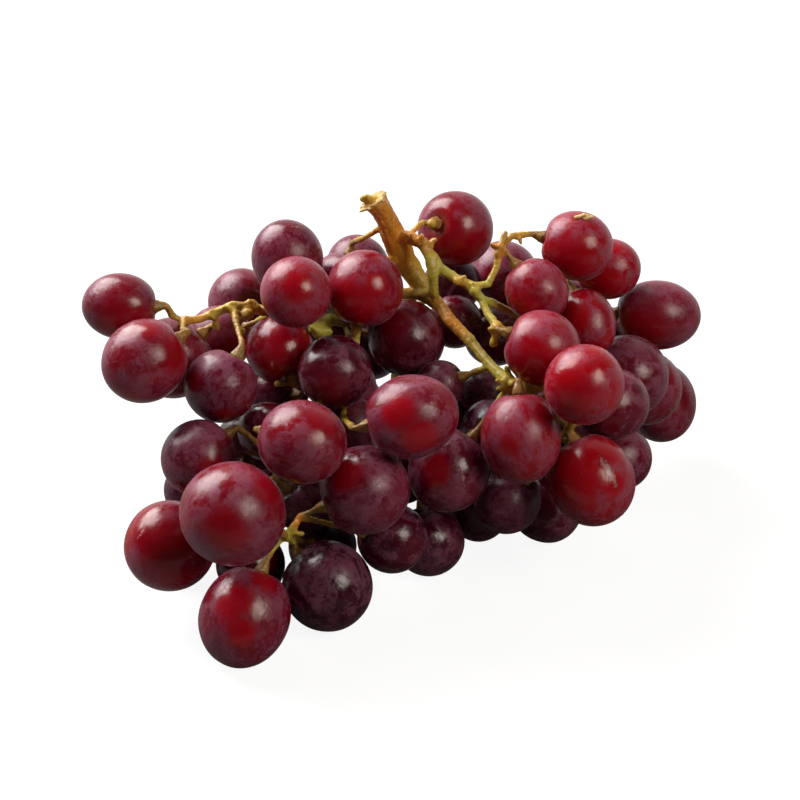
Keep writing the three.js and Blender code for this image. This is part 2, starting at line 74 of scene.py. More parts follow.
for name, (way, distance, size, watts, tint) in LAMPS.items():
    data = bpy.data.lights.new(name, "AREA")
    data.shape = "SQUARE"
    data.size = size
    data.energy = watts
    data.color = tint
    light = bpy.data.objects.new(name, data)
    light.location = BUNCH_MIDDLE + Vector(way).normalized() * distance
    light.rotation_euler = Vector(way).to_track_quat("Z", "Y").to_euler()
    scene.collection.objects.link(light)

# The room: pale walls that light the bunch faintly all round and are white to the eye. They are
# brighter behind the bunch, and a berry's gloss shows that as its thin pale rim.
WALL_BACKWARD = (0.1, 0.9)  # the ways, from sideways to backward, where the wall gets brighter
WALL_IN_GLOSS = (0.05, 0.8)
WALL_LIGHT = 0.06
WALL_TO_THE_EYE = 1.05


def add(tree, kind, ins=None, **settings):
    """Adds a node with its settings. ins gives its inputs, each a value or a feeding socket."""
    node = tree.nodes.new(kind)
    for setting, value in settings.items():
        setattr(node, setting, value)
    for key, value in (ins or {}).items():
        if isinstance(key, int):
            socket = node.inputs[key]
        else:
            socket = next(s for s in node.inputs if s.name == key and s.enabled)
        if isinstance(value, bpy.types.NodeSocket):
            tree.links.new(value, socket)
        else:
            socket.default_value = value
    return node


def calc(tree, operation, *values, **settings):
    """One step of arithmetic on sockets or numbers."""
    return add(tree, "ShaderNodeMath", dict(enumerate(values)), operation=operation,
               **settings).outputs[0]


def rescaled(tree, value, low=0.0, high=1.0, to_low=0.0, to_high=1.0, **settings):
    """A value moved from one range to another, and kept inside it."""
    return add(tree, "ShaderNodeMapRange", {0: value, 1: low, 2: high, 3: to_low, 4: to_high},
               **settings).outputs[0]


def backward_part(tree, coordinate):
    """How far backward a way or a place is."""
    where = add(tree, "ShaderNodeTexCoord").outputs[coordinate]
    return add(tree, "ShaderNodeSeparateXYZ", {0: where}).outputs[1]


room = bpy.data.worlds.new("pale_room")
room.use_nodes = True
tree = room.node_tree
tree.nodes.clear()
ray = add(tree, "ShaderNodeLightPath").outputs
wall = rescaled(tree, backward_part(tree, "Generated"), *WALL_BACKWARD, *WALL_IN_GLOSS)
in_gloss = calc(tree, "MULTIPLY", ray["Is Glossy Ray"], wall)
lighting = calc(tree, "MULTIPLY_ADD", ray["Is Diffuse Ray"], WALL_LIGHT, in_gloss)
strength = calc(tree, "MULTIPLY_ADD", ray["Is Camera Ray"], WALL_TO_THE_EYE, lighting)
sky = add(tree, "ShaderNodeBackground", {"Color": (1, 1, 1, 1), "Strength": strength})
add(tree, "ShaderNodeOutputWorld", {"Surface": sky.outputs[0]})
scene.world = room

# The table top: matt paper that runs on past the picture on all sides. It glows, so that it is
# white to the eye and bright in the gloss far back, but it throws little light on the bunch.
TABLE_HALF = 3
PAPER_WHITENESS = (0.13, 0.15)
PAPER_FIBRES = {"Scale": 900.0, "Detail": 3.0}
PAPER_TO_THE_EYE = 0.9
PAPER_FAR_BACK = (0.06, 0.4)  # metres behind the bunch where the glow in the gloss grows
PAPER_IN_GLOSS = (0.0, 0.8)

table = bpy.data.objects.new("table_top", bpy.data.meshes.new("table_top"))
table_corners = [(TABLE_HALF * x, TABLE_HALF * y, 0)
                 for x, y in ((-1, -1), (1, -1), (1, 1), (-1, 1))]
table.data.from_pydata(table_corners, [], [(0, 1, 2, 3)])
paper = bpy.data.materials.new("white_paper")
paper.use_nodes = True
tree = paper.node_tree
shader = tree.nodes["Principled BSDF"]
paper_fibres = add(tree, "ShaderNodeTexNoise", PAPER_FIBRES).outputs["Fac"]
ray = add(tree, "ShaderNodeLightPath").outputs
far_back = rescaled(tree, backward_part(tree, "Object"), *PAPER_FAR_BACK, *PAPER_IN_GLOSS)
in_gloss = calc(tree, "MULTIPLY", ray["Is Glossy Ray"], far_back)
glow = calc(tree, "MULTIPLY_ADD", ray["Is Camera Ray"], PAPER_TO_THE_EYE, in_gloss)
whiteness = rescaled(tree, paper_fibres, 0.0, 1.0, *PAPER_WHITENESS)
tree.links.new(whiteness, shader.inputs["Base Color"])
tree.links.new(glow, shader.inputs["Emission Strength"])
shader.inputs["Emission Color"].default_value = (1, 1, 1, 1)
shader.inputs["Roughness"].default_value = 0.9
table.data.materials.append(paper)
scene.collection.objects.link(table)

# The berries: thin dark red skin over clear flesh, each an oval on its own short stalk, with a
# shallow dimple where the stalk goes in. They grow against each other, and the lowest ones are
# pressed flat where they lie on the table. Sizes and places are those of the solids.
BERRY_SIDES = 64
BERRY_RINGS = 36
SOLID_RING = 10  # corners of the ring round a dimple or a blossom end of a solid
SOLID_TURN = math.pi / 6  # angle of that ring from the end
SOLID_SPREAD = 1.025
SOLID_DIMPLE = 0.0021
ROUND_WITHIN = 2e-5  # how even such a ring is
BERRIES_APART = 1e-3
DIMPLE = 0.16  # share of half the berry's length
DIMPLE_WIDTH = 0.3
UNEVEN = 0.0003
LUMP_SCALE = 70.0


def solid_corners(node):
    """The corners of a CAD node's mesh, its triangles by corner number, and their face normals."""
    mesh = frame["nodes"][node].data
    places = np.empty(len(mesh.vertices) * 3)
    mesh.vertices.foreach_get("co", places)
    loops = np.empty(len(mesh.loops), int)
    mesh.loops.foreach_get("vertex_index", loops)
    places = places.reshape(-1, 3)
    keys, merged = np.unique(np.round(places * 1e6), axis=0, return_inverse=True)
    corners = np.zeros(keys.shape)
    corners[merged.ravel()] = places
    faces = merged.ravel()[loops].reshape(-1, 3)
    sides = corners[faces[:, 1]] - corners[faces[:, 0]], corners[faces[:, 2]] - corners[faces[:, 0]]
    return corners, faces, np.cross(*sides)


def berries_of(node):
    """The centre, stalk axis, length and width of each berry that a CAD node is made of. The ten
    flat faces that meet at a dimple, or at a blossom end, give all four."""
    corners, faces, normals = solid_corners(node)
    found = []
    for corner, point in enumerate(corners):
        touching = (faces == corner).any(1)
        ring = corners[np.setdiff1d(faces[touching], [corner])]
        middle = ring.mean(0)
        radii = np.linalg.norm(ring - middle, axis=1)
        if len(ring) != SOLID_RING or radii.std() > ROUND_WITHIN:
            continue
        outward = normals[touching].sum(0)
        outward /= np.linalg.norm(outward)
        height = float((middle - point) @ outward)
        width = 2 * radii.mean() / (math.sin(SOLID_TURN) * SOLID_SPREAD)
        share = 1 - math.cos(SOLID_TURN)
        if height > 0:
            half = (SOLID_DIMPLE - height) / share
            centre, axis = point - outward * (half - SOLID_DIMPLE), outward
        else:
            half = -height / share
            centre, axis = point - outward * half, -outward
        if all(np.linalg.norm(centre - other[0]) > BERRIES_APART for other in found):
            found.append((centre, axis, 2 * half, width))
    return found


def new_tree(name, kind, inputs, outputs):
    """A node tree with named sockets: inputs are (name, type, value), outputs (name, type)."""
    tree = bpy.data.node_groups.new(name, kind)
    for label, socket, value in inputs:
        made = tree.interface.new_socket(label, in_out="INPUT", socket_type=socket)
        if value is not None:
            made.default_value = value
    for label, socket in outputs:
        tree.interface.new_socket(label, in_out="OUTPUT", socket_type=socket)
    return tree, tree.nodes.new("NodeGroupInput").outputs, tree.nodes.new("NodeGroupOutput").inputs


def noise(tree, where, scale, detail, rough=0.5, warp=0.0):
    """Cloudy noise, between 0 and 1."""
    return add(tree, "ShaderNodeTexNoise", {"Vector": where, "Scale": scale, "Detail": detail,
                                            "Roughness": rough, "Distortion": warp}).outputs["Fac"]


def summed(tree, start, *parts):
    """A start value plus each part times its share."""
    for part, share in parts:
        start = calc(tree, "MULTIPLY_ADD", part, share, start)
    return start


def kept_vector(tree, name):
    """The vector that is kept for each point under a name."""
    return add(tree, "GeometryNodeInputNamedAttribute", {"Name": name},
               data_type="FLOAT_VECTOR").outputs[0]


def set_on_points(tree, points, shape, axis_name):
    """A shape on each point, turned to the axis kept there and as large as the size kept there."""
    turned = add(tree, "FunctionNodeAlignRotationToVector",
                 {"Vector": kept_vector(tree, axis_name)}, axis="Z")
    placed = add(tree, "GeometryNodeInstanceOnPoints",
                 {"Points": points, "Instance": shape, "Rotation": turned.outputs[0],
                  "Scale": kept_vector(tree, "size")})
    return add(tree, "GeometryNodeRealizeInstances", {0: placed.outputs[0]}).outputs[0]


def raised(tree, shape, height):
    """A shape with each point moved outwards by a height."""
    outward = add(tree, "GeometryNodeInputNormal").outputs[0]
    way = add(tree, "ShaderNodeVectorMath", {0: outward, "Scale": height}, operation="SCALE")
    return add(tree, "GeometryNodeSetPosition",
               {"Geometry": shape, "Offset": way.outputs[0]}).outputs[0]


def put_out(tree, shape, material, result):
    """Ends a tree: its shape is shaded smooth and gets its material."""
    smooth = add(tree, "GeometryNodeSetShadeSmooth", {"Geometry": shape})
    coated = add(tree, "GeometryNodeSetMaterial",
                 {"Geometry": smooth.outputs[0], "Material": material})
    tree.links.new(coated.outputs[0], result[0])


tree, given, result = new_tree(
    "berry_on_its_stalk", "GeometryNodeTree",
    [("Places", "NodeSocketGeometry", None), ("Dimple", "NodeSocketFloat", DIMPLE),
     ("Dimple Width", "NodeSocketFloat", DIMPLE_WIDTH), ("Uneven", "NodeSocketFloat", UNEVEN),
     ("Skin", "NodeSocketMaterial", None)],
    [("Berries", "NodeSocketGeometry")])
berry_tree = tree
ball = add(tree, "GeometryNodeMeshUVSphere",
           {"Segments": BERRY_SIDES, "Rings": BERRY_RINGS, "Radius": 1.0})
place = add(tree, "GeometryNodeInputPosition").outputs[0]
marked = add(tree, "GeometryNodeStoreNamedAttribute",
             {"Geometry": ball.outputs["Mesh"], "Name": "own", "Value": place},
             data_type="FLOAT_VECTOR", domain="POINT")
on_ball = add(tree, "ShaderNodeSeparateXYZ", {0: place}).outputs
off_axis = calc(tree, "MULTIPLY_ADD", on_ball[1], on_ball[1],
                calc(tree, "MULTIPLY", on_ball[0], on_ball[0]))
dimple_breadth = calc(tree, "MULTIPLY", given["Dimple Width"], given["Dimple Width"])
fall = calc(tree, "DIVIDE", off_axis, dimple_breadth)
bell = calc(tree, "EXPONENT", calc(tree, "MULTIPLY", fall, -1.0))
at_stalk = calc(tree, "GREATER_THAN", on_ball[2], 0.0)
sunk = calc(tree, "MULTIPLY", calc(tree, "MULTIPLY", bell, at_stalk), given["Dimple"])
inward = add(tree, "ShaderNodeCombineXYZ", {2: calc(tree, "MULTIPLY", sunk, -1.0)})
dimpled = add(tree, "GeometryNodeSetPosition",
              {"Geometry": marked.outputs[0], "Offset": inward.outputs[0]})
on_stalks = set_on_points(tree, given["Places"], dimpled.outputs[0], "axis")
lumps = rescaled(tree, noise(tree, place, LUMP_SCALE, 1.0), to_low=-1.0)
lumpy = raised(tree, on_stalks, calc(tree, "MULTIPLY", lumps, given["Uneven"]))
in_bunch = add(tree, "ShaderNodeSeparateXYZ", {0: place}).outputs
on_table = calc(tree, "MAXIMUM", in_bunch[2], 0.0)
pressed = add(tree, "ShaderNodeCombineXYZ", {0: in_bunch[0], 1: in_bunch[1], 2: on_table})
resting = add(tree, "GeometryNodeSetPosition", {"Geometry": lumpy, "Position": pressed.outputs[0]})
put_out(tree, resting.outputs[0], given["Skin"], result)


def write_field(mesh, name, kind, values):
    """Keeps one value, or one vector, for each vertex of a mesh."""
    field = mesh.attributes.new(name, kind, "POINT")
    key = "vector" if kind == "FLOAT_VECTOR" else "value"
    field.data.foreach_set(key, np.asarray(values, np.float32).ravel())


def places_of(piece):
    """The places of a piece's vertices."""
    places = np.empty(len(piece.data.vertices) * 3)
    piece.data.vertices.foreach_get("co", places)
    return places.reshape(-1, 3)


def grown(piece, tree, values):
    """Runs a Geometry Nodes tree on a piece and leaves the plain mesh that it makes."""
    modifier = piece.modifiers.new("shape", "NODES")
    modifier.node_group = tree
    for item in tree.interface.items_tree:
        if item.in_out == "INPUT" and item.name in values:
            modifier[item.identifier] = values[item.name]
    depsgraph = bpy.context.evaluated_depsgraph_get()
    made = bpy.data.meshes.new_from_object(piece.evaluated_get(depsgraph),
                                           preserve_all_data_layers=True, depsgraph=depsgraph)
    piece.modifiers.clear()
    piece.data = made


# The skin: red where it is thin or rubbed, purple brown where it is ripe, under a pale mauve bloom
# of wax that lies in clouds and is wiped off in patches. Each berry has its own ripeness and bloom;
# on the low berries at the front the dark ripe colour is partly painted shade.
# A pattern is sized in berry radii, and a step says where a mask begins and where it is full.
PATTERNS = {  # scale, detail, roughness, warp
    "clouds": (1.5, 3.0, 0.6, 0.9),
    "wisps": (4.2, 5.0, 0.66, 1.4),
    "puffs": (2.8, 2.0, 0.6, 0.0),
    "fine": (15.0, 4.0, 0.65, 0.0),
    "grain": (24.0, 2.0, 0.7, 0.0),
    "depth": (1.1, 1.0, 0.55, 0.0),
}
STRETCH = (1, 1, 0.8)  # the patterns run a little along the stalk's axis
RUBBED_STEP = (0.3, 0.86)
RUBBED_RAGGED = 0.62
RUBBED_CLEARS = -0.93
RUBBED_REDDENS = -0.8
CLOUD_STEP = (0.57, 0.77)
CLOUD_RAGGED = 0.3
BLOOM_WIDENS = 0.34
THICK_STEP = (0.38, 0.62)
GRAIN_STEP = (0.36, 0.64)
NICK_SCALE = 6.5
NICK_STEP = (0.06, 0.2)
NICK_PLACES = (0.5, 0.6)
NICK_RAGGED = 0.45
NICK_CLEARS = -0.6
RIPENESS_VARIES = 0.9
SPECKS = (19.0, 0.16, 0.3)  # scale, size and share of the cells that have one
PITS = (12.0, 0.12, 0.14)
STALK_STAIN_STEP = (0.9, 0.98)  # along the axis, where 1 is the stalk and -1 the blossom end
BLOSSOM_SCAR_STEP = (0.9965, 0.9985)
SCUFF_STEP = (0.5, 1.1)
OPEN_RIM_STEP = (1.3, 1.7)
PIT_COLOUR = (0.02, 0.004, 0.005, 1)
SPECK_COLOUR = (0.45, 0.22, 0.2, 1)
STALK_STAIN = (0.13, 0.045, 0.02, 1)
BLOSSOM_SCAR = (0.09, 0.045, 0.03, 1)
OPEN_RIM_COLOUR = (0.05, 0.0, 0.001, 1)
SCUFF_COLOUR = (0.42, 0.2, 0.19, 1)


def read(tree, name):
    """A value or vector that is kept in the mesh, read in a shader tree."""
    return add(tree, "ShaderNodeAttribute", attribute_name=name).outputs


def centred(tree, value):
    """Noise about 0 instead of a half."""
    return calc(tree, "SUBTRACT", value, 0.5)


def step_up(tree, value, low, high):
    """A smooth step from 0 to 1 between two values."""
    return rescaled(tree, value, low, high, interpolation_type="SMOOTHSTEP")


def step_down(tree, value, low, high):
    """A smooth step from 1 to 0 between two values."""
    return calc(tree, "SUBTRACT", 1.0, step_up(tree, value, low, high))


def blend(tree, share, first, second):
    """A mix of two colours."""
    node = add(tree, "ShaderNodeMix", {"Factor": share}, data_type="RGBA")
    for socket, value in zip([s for s in node.inputs if s.type == "RGBA"], (first, second)):
        if isinstance(value, bpy.types.NodeSocket):
            tree.links.new(value, socket)
        else:
            socket.default_value = value
    return next(s for s in node.outputs if s.type == "RGBA")


def strewn_dots(tree, where, scale, size, share):
    """Small round dots strewn over a berry, in so large a share of the cells."""
    cells = add(tree, "ShaderNodeTexVoronoi", {"Vector": where, "Scale": scale}).outputs
    dot = step_down(tree, cells["Distance"], size * 0.5, size)
    cell_draw = add(tree, "ShaderNodeSeparateColor", {0: cells["Color"]}).outputs[0]
    return calc(tree, "MULTIPLY", dot, calc(tree, "LESS_THAN", cell_draw, share))


def dot_product(tree, first, second):
    """The dot product of two vectors."""
    return add(tree, "ShaderNodeVectorMath", {0: first, 1: second},
               operation="DOT_PRODUCT").outputs["Value"]


tree, given, result = new_tree(
    "grape_skin", "ShaderNodeTree",
    [("Thin Colour", "NodeSocketColor", (0.3, 0.01, 0.02, 1)),
     ("Ripe Colour", "NodeSocketColor", (0.08, 0.01, 0.02, 1)),
     ("Bloom Colour", "NodeSocketColor", (0.4, 0.2, 0.26, 1)),
     ("Bloom Cover", "NodeSocketFloat", 0.5)],
    [("Color", "NodeSocketColor"), ("Roughness", "NodeSocketFloat"), ("Height", "NodeSocketFloat")])
skin_group = tree
own = read(tree, "own")["Vector"]
berry_seed = read(tree, "berry_seed")["Fac"]
shift = add(tree, "ShaderNodeCombineXYZ", {0: berry_seed, 1: berry_seed, 2: berry_seed}).outputs[0]
strewn = add(tree, "ShaderNodeVectorMath", {0: own, 1: STRETCH, 2: shift},
             operation="MULTIPLY_ADD").outputs[0]
clouds, wisps, puffs, fine, grain, depth = (noise(tree, strewn, *p) for p in PATTERNS.values())
ragged = summed(tree, 0.0, (centred(tree, fine), 0.5), (centred(tree, wisps), 1.5))
rubbed = summed(tree, read(tree, "bare")["Fac"], (ragged, RUBBED_RAGGED))
bare = step_up(tree, rubbed, *RUBBED_STEP)

# The bloom of wax lies in clouds, thicker in puffs and wisps, grainy close up, with small nicks.
cover = summed(tree, clouds, (read(tree, "bloom")["Fac"], BLOOM_WIDENS), (ragged, CLOUD_RAGGED))
cloudy = step_up(tree, cover, *CLOUD_STEP)
thick = summed(tree, 0.25, (step_up(tree, puffs, *THICK_STEP), 0.5),
               (step_up(tree, wisps, *THICK_STEP), 0.4))
grainy = summed(tree, 0.68, (step_up(tree, grain, *GRAIN_STEP), 0.32))
mottled = calc(tree, "MULTIPLY", calc(tree, "MULTIPLY", cloudy, thick), grainy)
nick_cells = add(tree, "ShaderNodeTexVoronoi", {"Vector": strewn, "Scale": NICK_SCALE}).outputs
nick_edge = summed(tree, nick_cells["Distance"], (ragged, NICK_RAGGED))
nicks = calc(tree, "MULTIPLY", step_down(tree, nick_edge, *NICK_STEP),
             step_up(tree, clouds, *NICK_PLACES))
kept = calc(tree, "MULTIPLY", summed(tree, 1.0, (bare, RUBBED_CLEARS)),
            summed(tree, 1.0, (nicks, NICK_CLEARS)))
waxy = calc(tree, "MULTIPLY", mottled, kept)

# Under the bloom: how ripe the skin is, which on the low front berries is partly painted shade, and
# its specks, pits, stalk stain and blossom scar.
ripeness = calc(tree, "MULTIPLY_ADD", centred(tree, depth), RIPENESS_VARIES,
                read(tree, "ripe")["Fac"], use_clamp=True)
darkened = calc(tree, "MULTIPLY", ripeness, summed(tree, 1.0, (bare, RUBBED_REDDENS)))
specks = strewn_dots(tree, strewn, *SPECKS)
pits = strewn_dots(tree, strewn, *PITS)
along_axis = add(tree, "ShaderNodeSeparateXYZ", {0: own}).outputs[2]
near_stalk = step_up(tree, summed(tree, along_axis, (ragged, 0.06)), *STALK_STAIN_STEP)
at_blossom = step_up(tree, calc(tree, "MULTIPLY", along_axis, -1.0), *BLOSSOM_SCAR_STEP)

# One scuff on a berry that has one: torn wax, pale inside, and dark where the skin is open at its
# edge. It is an oval about a line, with a torn outline.
from_scuff = add(tree, "ShaderNodeVectorMath", {0: own, 1: read(tree, "scuff_at")["Vector"]},
                 operation="SUBTRACT").outputs[0]
along_scuff = dot_product(tree, from_scuff, read(tree, "scuff_way")["Vector"])
scuff_size = add(tree, "ShaderNodeSeparateXYZ", {0: read(tree, "scuff_size")["Vector"]}).outputs
off_square = calc(tree, "SUBTRACT", dot_product(tree, from_scuff, from_scuff),
                  calc(tree, "MULTIPLY", along_scuff, along_scuff))
off_scuff = calc(tree, "SQRT", calc(tree, "MAXIMUM", 0.0, off_square))
reach_along = calc(tree, "ABSOLUTE", calc(tree, "DIVIDE", along_scuff, scuff_size[0]))
reach_off = calc(tree, "DIVIDE", off_scuff, scuff_size[1])
in_oval = calc(tree, "ADD", calc(tree, "POWER", reach_along, 2.0),
               calc(tree, "POWER", reach_off, 2.0))
torn = summed(tree, 0.0, (ragged, 2.5), (centred(tree, fine), 5.0))
scuff_edge = calc(tree, "ADD", torn, in_oval)
scuffed = step_down(tree, scuff_edge, *SCUFF_STEP)
open_rim = calc(tree, "MULTIPLY", step_down(tree, scuff_edge, *OPEN_RIM_STEP), scuff_size[2])

skin_colour = blend(tree, darkened, given["Thin Colour"], given["Ripe Colour"])
for mask, share, over in (
        (waxy, given["Bloom Cover"], given["Bloom Colour"]), (pits, 0.6, PIT_COLOUR),
        (specks, 0.25, SPECK_COLOUR), (near_stalk, 0.45, STALK_STAIN),
        (at_blossom, 0.25, BLOSSOM_SCAR), (open_rim, 0.8, OPEN_RIM_COLOUR),
        (scuffed, 0.6, SCUFF_COLOUR)):
    skin_colour = blend(tree, calc(tree, "MULTIPLY", mask, share), skin_colour, over)
tree.links.new(skin_colour, result["Color"])
tree.links.new(summed(tree, 0.11, (fine, 0.16), (waxy, 0.22), (open_rim, -0.16)),
               result["Roughness"])
tree.links.new(summed(tree, 0.0, (fine, 0.5), (wisps, 1.1), (puffs, 2.2), (waxy, 0.7),
                      (specks, 0.4), (scuffed, -1.5)), result["Height"])

# The dark skin is partly painted shade: it keeps the low berries dark where shade falls under the
# bunch.
SKINS = {  # thin colour, ripe colour, how far the bloom covers
    "bright_skin": ((0.34, 0.0003, 0.005, 1), (0.16, 0.0008, 0.01, 1), 0.62),
    "red_skin": ((0.25, 0.0005, 0.006, 1), (0.085, 0.001, 0.01, 1), 0.6),
    "dark_skin": ((0.125, 0.0008, 0.006, 1), (0.033, 0.0015, 0.009, 1), 0.55),
}
BLOOM_COLOUR = (0.25, 0.08, 0.14, 1)
SKIN_RELIEF = (0.2, 0.0002)
SKIN_SURFACE = {
    "IOR": 1.42, "Subsurface Weight": 0.35, "Subsurface Radius": (1, 0.08, 0.06),
    "Subsurface Scale": 0.003, "Sheen Weight": 0.3, "Sheen Roughness": 0.14,
    "Sheen Tint": (1, 0.7, 0.82, 1),
}


def new_material(name, surface):
    """A material with the values that are the same all over it: itself, its tree and its shader."""
    material = bpy.data.materials.new(name)
    material.use_nodes = True
    shader = material.node_tree.nodes["Principled BSDF"]
    for label, value in surface.items():
        shader.inputs[label].default_value = value
    return material, material.node_tree, shader


def add_relief(tree, shader, height, strength, distance):
    """Small relief, as bump, from a height that is so many metres high."""
    relief = add(tree, "ShaderNodeBump",
                 {"Height": height, "Strength": strength, "Distance": distance})
    tree.links.new(relief.outputs[0], shader.inputs["Normal"])


skins = {}
for slot, (thin, ripe, cover_share) in SKINS.items():
    skins[slot], tree, shader = new_material(slot, SKIN_SURFACE)
    skin_look = add(tree, "ShaderNodeGroup", node_tree=skin_group)
    for label, value in (("Thin Colour", thin), ("Ripe Colour", ripe),
                         ("Bloom Colour", BLOOM_COLOUR), ("Bloom Cover", cover_share)):
        skin_look.inputs[label].default_value = value
    tree.links.new(skin_look.outputs["Color"], shader.inputs["Base Color"])
    tree.links.new(skin_look.outputs["Roughness"], shader.inputs["Roughness"])
    add_relief(tree, shader, skin_look.outputs["Height"], *SKIN_RELIEF)

# How each berry looks from the front: ripeness, bloom, and the rubbed patches, each as across, up
# and radius in berry radii from its middle. The high ripeness of the low berries at the front is
# partly painted shade from under the bunch.
LOOKS = {
    "left_tip_1": (0.6, 0.5, [(0.1, -0.5, 1.0)]),
    "left_tip_2": (0.35, 0.65, [(0.75, 0.15, 0.5), (-0.5, -0.75, 0.4), (0.1, 0.75, 0.3)]),
    "left_tip_3": (0.5, 0.75, []),
    "left_tip_4": (0.9, 0.75, [(-0.8, 0.1, 0.4), (0.1, -0.8, 0.3)]),
    "left_tip_5": (0.45, 0.8, [(0.3, -0.45, 0.55)]),
    "left_tip_6": (0.6, 0.65, [(0.2, -0.2, 0.4)]),
    "left_top_1": (0.7, 0.6, [(0.2, -0.3, 0.45)]),
    "left_top_2": (0.4, 0.65, [(0.05, 0.15, 0.45)]),
    "left_top_3": (0.7, 0.5, [(-0.35, -0.4, 0.75), (0.3, 0.1, 0.35)]),
    "left_top_4": (0.3, 0.5, [(0.0, 0.45, 0.4), (0.1, -0.5, 0.85)]),
    "stalk_1": (0.8, 0.7, []),
    "stalk_2": (0.8, 0.5, []),
    "middle_1": (0.7, 0.4, [(-0.2, -0.5, 0.6)]),
    "middle_2": (0.55, 0.35, [(-0.3, 0.4, 0.5)]),
    "middle_3": (1.0, 0.75, [(-0.3, 0.1, 0.5), (0.2, -0.5, 0.5)]),
    "middle_4": (0.45, 0.65, [(0.5, 0.45, 0.45)]),
    "middle_5": (0.9, 0.7, [(-0.45, 0.35, 0.45)]),
    "middle_6": (0.95, 0.5, [(-0.3, 0.0, 0.4)]),
    "front_1": (0.85, 0.55, [(0.3, -0.3, 0.4)]),
    "front_2": (0.4, 0.6, [(-0.15, -0.3, 0.48), (0.7, 0.45, 0.4)]),
    "front_3": (0.0, 0.5, [(0.0, -0.05, 0.75)]),
    "front_4": (1.2, 0.6, [(-0.2, 0.3, 0.5), (-0.1, -0.3, 0.4), (0.4, 0.75, 0.35)]),
    # front_5 is dark partly as painted shade under the bunch.
    "front_5": (1.3, 0.45, []),
    "low_1": (0.8, 0.4, []),
    "right_1": (-0.2, 0.7, [(0.55, 0.6, 0.45), (-0.3, -0.25, 0.3)]),
    "right_2": (0.35, 0.55, [(-0.4, 0.1, 0.75), (0.3, 0.7, 0.5), (0.5, -0.1, 0.3)]),
    "right_3": (0.1, 0.65, [(-0.25, -0.15, 0.65), (0.25, 0.35, 0.3)]),
    "right_4": (0.45, 0.75, [(-0.1, -0.6, 0.9)]),
    "right_5": (0.45, 0.7, [(-0.45, -0.45, 0.6)]),
    "right_6": (0.3, 0.6, [(-0.15, -0.4, 0.7)]),
    "right_7": (0.2, 0.4, [(0.0, -0.5, 0.6)]),
    "right_8": (0.4, 1.0, [(-0.4, -0.4, 0.85)]),
    "right_9": (0.4, 0.4, [(-0.3, 0.2, 0.5)]),
    "right_10": (0.7, 0.55, []),
    "right_11": (0.9, 0.65, []),
    "right_12": (0.5, 0.5, []),
    "right_13": (0.55, 0.45, []),
    "right_14": (0.9, 0.6, []),
    "back_1": (0.35, 0.5, [(0.0, -0.45, 0.85), (-0.3, 0.4, 0.3)]),
    "back_2": (0.7, 0.7, []),
}
HIDDEN_LOOK = (0.7, 0.5, [])
OWN_SPREAD = 0.08  # how far the draws stray from a look that was set for a berry
HIDDEN_SPREAD = 0.3
SEED_RANGE = 60
PATCH_CORE = 1.25
PATCH_FALL = 0.75
slot_of = {part["node"]: part["material_slot"] for part in frame["record"]["subparts"]}
draws = np.random.default_rng(7)


def as_seen(centre):
    """The way from the eye to a place, and the ways across and up as the eye sees it there."""
    line = (centre - EYE).normalized()
    across = line.cross(SEEN_UP).normalized()
    return line, across, across.cross(line)


def spot_on_front(centre, right_by, up_by):
    """The way from a berry's middle to the spot that is seen so many radii across and up."""
    line, across, upward = as_seen(centre)
    front = math.sqrt(max(0.0, 1 - right_by ** 2 - up_by ** 2))
    return np.array(across * right_by + upward * up_by - line * front)


def patch_field(places, centre, width, patches):
    """How far each point is inside the rubbed patches of its berry, 1 in the middle of one."""
    field = np.zeros(len(places))
    outward = (places - np.array(centre)) / (width / 2)
    for right_by, up_by, radius in patches:
        apart = np.linalg.norm(outward - spot_on_front(centre, right_by, up_by), axis=1)
        field = np.maximum(field, np.clip(PATCH_CORE - apart / radius * PATCH_FALL, 0, 1))
    return field


# The scuffs, as across and up from the middle in berry radii, the way they run in degrees, length
# and width in berry radii, and how wet the open edge is.
SCUFFS = {
    "left_top_1": (0.24, 0.8, 10, 0.2, 0.045, 0.0),
    "front_4": (-0.4, 0.62, 65, 0.2, 0.08, 0.2),
    "front_3": (-0.62, 0.26, 50, 0.12, 0.06, 0.0),
    "left_top_4": (-0.22, -0.42, 80, 0.14, 0.06, 0.0),
    "right_2": (0.4, 0.18, -62, 0.4, 0.1, 0.6),
    "right_1": (-0.36, 0.42, 100, 0.1, 0.05, 0.6),
    "middle_6": (0.35, -0.2, -50, 0.12, 0.04, 0.3),
    "left_tip_3": (0.3, 0.2, 40, 0.1, 0.04, 0.0),
}
NO_SCUFF = (0, 0, 9), (1, 0, 0), (0.01, 0.01, 0)


def scuff_fields(piece, centre, scuff):
    """The place, way and size of a scuff in the berry's own frame, where it is a unit ball."""
    right_by, up_by, turn, length, breadth, wet = scuff
    inner = np.empty(len(piece.data.vertices) * 3)
    piece.data.attributes["own"].data.foreach_get("vector", inner)
    offsets = places_of(piece) - np.array(centre)
    to_own = np.linalg.lstsq(offsets, inner.reshape(-1, 3), rcond=None)[0]
    _, across, upward = as_seen(centre)
    spot = spot_on_front(centre, right_by, up_by) @ to_own
    run = across * math.cos(math.radians(turn)) + upward * math.sin(math.radians(turn))
    way = np.array(run) @ to_own
    return spot / np.linalg.norm(spot), way / np.linalg.norm(way), (length, breadth, wet)


